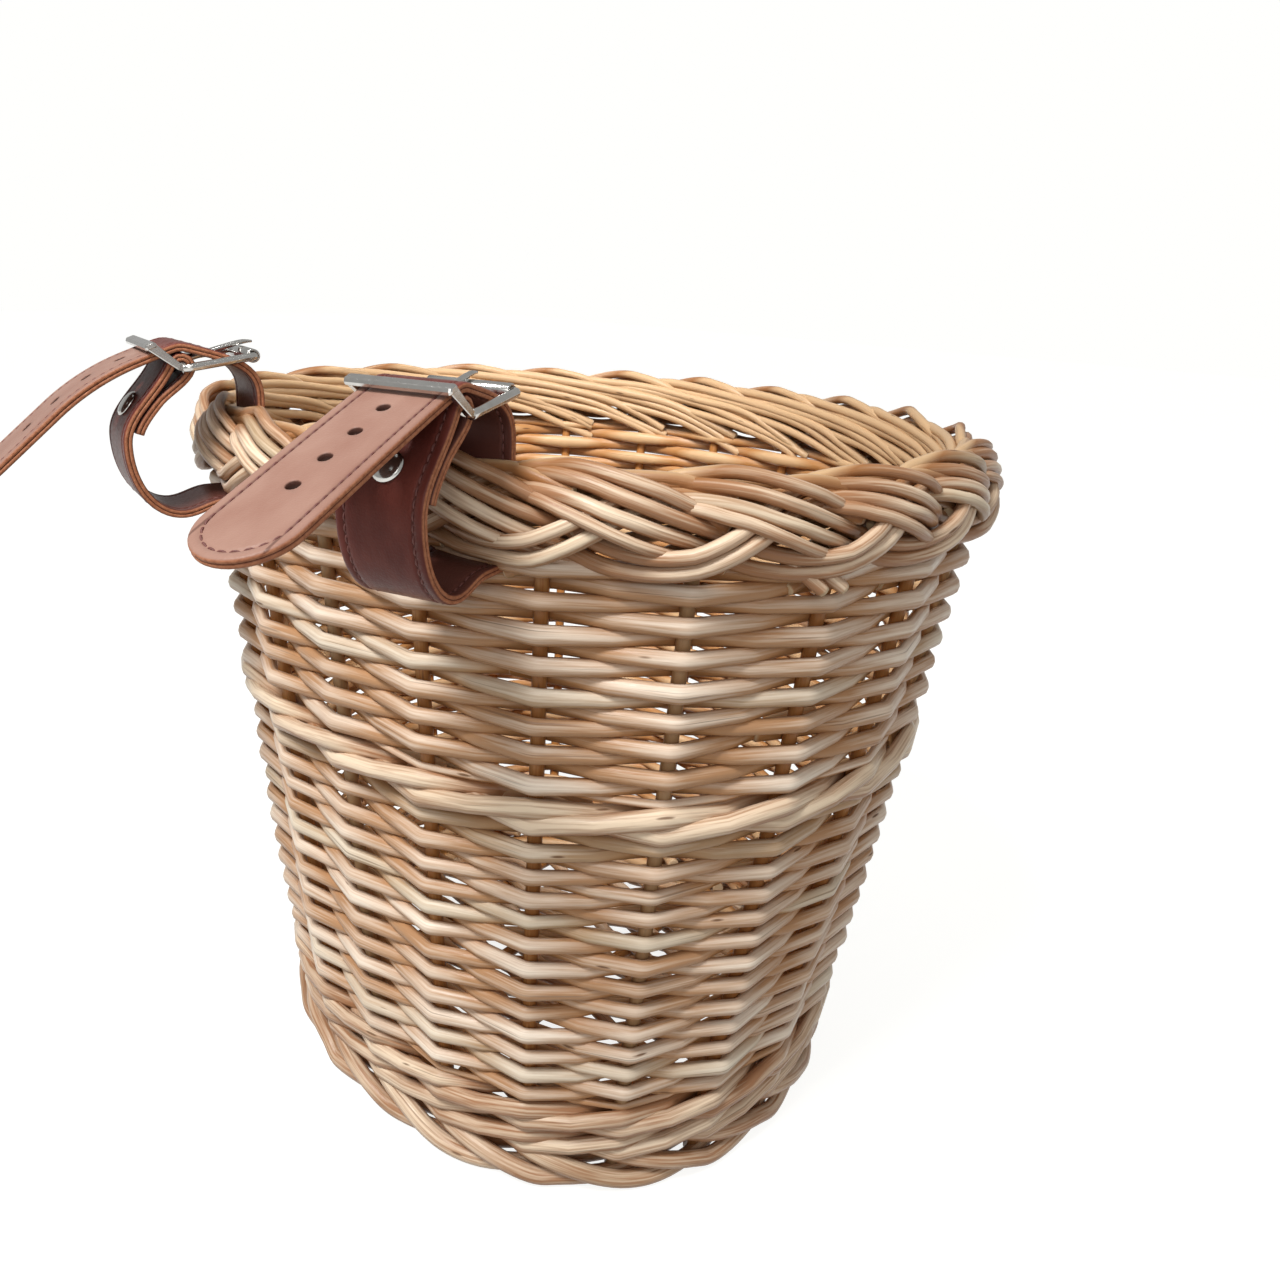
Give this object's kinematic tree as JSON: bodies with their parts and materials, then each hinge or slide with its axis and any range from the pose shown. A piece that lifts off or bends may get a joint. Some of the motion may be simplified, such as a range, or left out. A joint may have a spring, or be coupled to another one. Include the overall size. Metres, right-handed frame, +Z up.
{
  "type": "bicycle basket",
  "caption": "Woven willow handlebar basket, D-shaped in plan, with a plaited rim, a waled foot and two buckled leather straps behind the rim.",
  "frame": {"origin": "on the ground, under the middle of the whole part with its straps", "axes": "+Z up, X along the handlebar, -Y towards the handlebar side with the straps"},
  "size_m": [0.3424, 0.3681, 0.3051],
  "materials": {
    "willow_weavers": "peeled willow, half gloss",
    "willow_stakes": "peeled willow, brown and half gloss",
    "strap_leather": "smooth red-brown, stitched edges",
    "polished_nickel": "polished"
  },
  "bodies": {
    "basket": {"foot_rod_1": "willow_weavers", "foot_rod_2": "willow_weavers", "foot_rod_3": "willow_weavers", "upsett_rod_1": "willow_weavers", "upsett_rod_2": "willow_weavers", "upsett_rod_3": "willow_weavers", "lower_weaver_1": "willow_weavers", "lower_weaver_2": "willow_weavers", "lower_weaver_3": "willow_weavers", "lower_weaver_4": "willow_weavers", "mid_wale_rod_1": "willow_weavers", "mid_wale_rod_2": "willow_weavers", "mid_wale_rod_3": "willow_weavers", "upper_weaver_1": "willow_weavers", "upper_weaver_2": "willow_weavers", "upper_weaver_3": "willow_weavers", "border_rod_1": "willow_weavers", "border_rod_2": "willow_weavers", "border_rod_3": "willow_weavers", "border_rod_4": "willow_weavers", "border_rod_5": "willow_weavers", "border_rod_6": "willow_weavers", "base_weaver_1": "willow_weavers", "base_weaver_2": "willow_weavers", "stake_01": "willow_stakes", "stake_02": "willow_stakes", "stake_03": "willow_stakes", "stake_04": "willow_stakes", "stake_05": "willow_stakes", "stake_06": "willow_stakes", "stake_07": "willow_stakes", "stake_08": "willow_stakes", "stake_09": "willow_stakes", "stake_10": "willow_stakes", "stake_11": "willow_stakes", "stake_12": "willow_stakes", "stake_13": "willow_stakes", "stake_14": "willow_stakes", "stake_15": "willow_stakes", "stake_16": "willow_stakes", "stake_17": "willow_stakes", "stake_18": "willow_stakes", "stake_19": "willow_stakes", "stake_20": "willow_stakes", "stake_21": "willow_stakes", "base_hoop": "willow_stakes", "base_stick_1": "willow_stakes", "base_stick_2": "willow_stakes", "base_stick_3": "willow_stakes", "base_stick_4": "willow_stakes"},
    "left_strap": {"left_strap": "strap_leather", "left_rivet": "polished_nickel"},
    "left_buckle": {"left_buckle_frame": "polished_nickel"},
    "left_tongue": {"left_buckle_tongue": "polished_nickel"},
    "left_roller": {"left_buckle_roller": "polished_nickel"},
    "right_strap": {"right_strap": "strap_leather", "right_rivet": "polished_nickel"},
    "right_buckle": {"right_buckle_frame": "polished_nickel"},
    "right_tongue": {"right_buckle_tongue": "polished_nickel"},
    "right_roller": {"right_buckle_roller": "polished_nickel"}
  },
  "joints": [
    {"name": "left_strap_swing", "type": "hinge", "parent": "basket", "child": "left_strap", "pos_m": [-0.0638, -0.0937, 0.2666], "axis": [0.9654, -0.2609, 0], "range_deg": [-2, 2]},
    {"name": "left_buckle_tilt", "type": "hinge", "parent": "left_strap", "child": "left_buckle", "pos_m": [-0.06771, -0.10818, 0.2962], "axis": [0.9654, -0.2609, 0], "range_deg": [-2, 2]},
    {"name": "left_tongue_lift", "type": "hinge", "parent": "left_buckle", "child": "left_tongue", "pos_m": [-0.06771, -0.10818, 0.2962], "axis": [0.9654, -0.2609, 0], "range_deg": [0, 8]},
    {"name": "left_roller_spin", "type": "hinge", "parent": "left_buckle", "child": "left_roller", "pos_m": [-0.06151, -0.08524, 0.29982], "axis": [0.9654, -0.2609, 0], "continuous": true},
    {"name": "right_strap_swing", "type": "hinge", "parent": "basket", "child": "right_strap", "pos_m": [0.06289, -0.0937, 0.2666], "axis": [0.9654, 0.2609, 0], "range_deg": [-2, 2]},
    {"name": "right_buckle_tilt", "type": "hinge", "parent": "right_strap", "child": "right_buckle", "pos_m": [0.0668, -0.10818, 0.2962], "axis": [0.9654, 0.2609, 0], "range_deg": [-2, 2]},
    {"name": "right_tongue_lift", "type": "hinge", "parent": "right_buckle", "child": "right_tongue", "pos_m": [0.0668, -0.10818, 0.2962], "axis": [0.9654, 0.2609, 0], "range_deg": [0, 8]},
    {"name": "right_roller_spin", "type": "hinge", "parent": "right_buckle", "child": "right_roller", "pos_m": [0.0606, -0.08524, 0.29982], "axis": [0.9654, 0.2609, 0], "continuous": true}
  ]
}
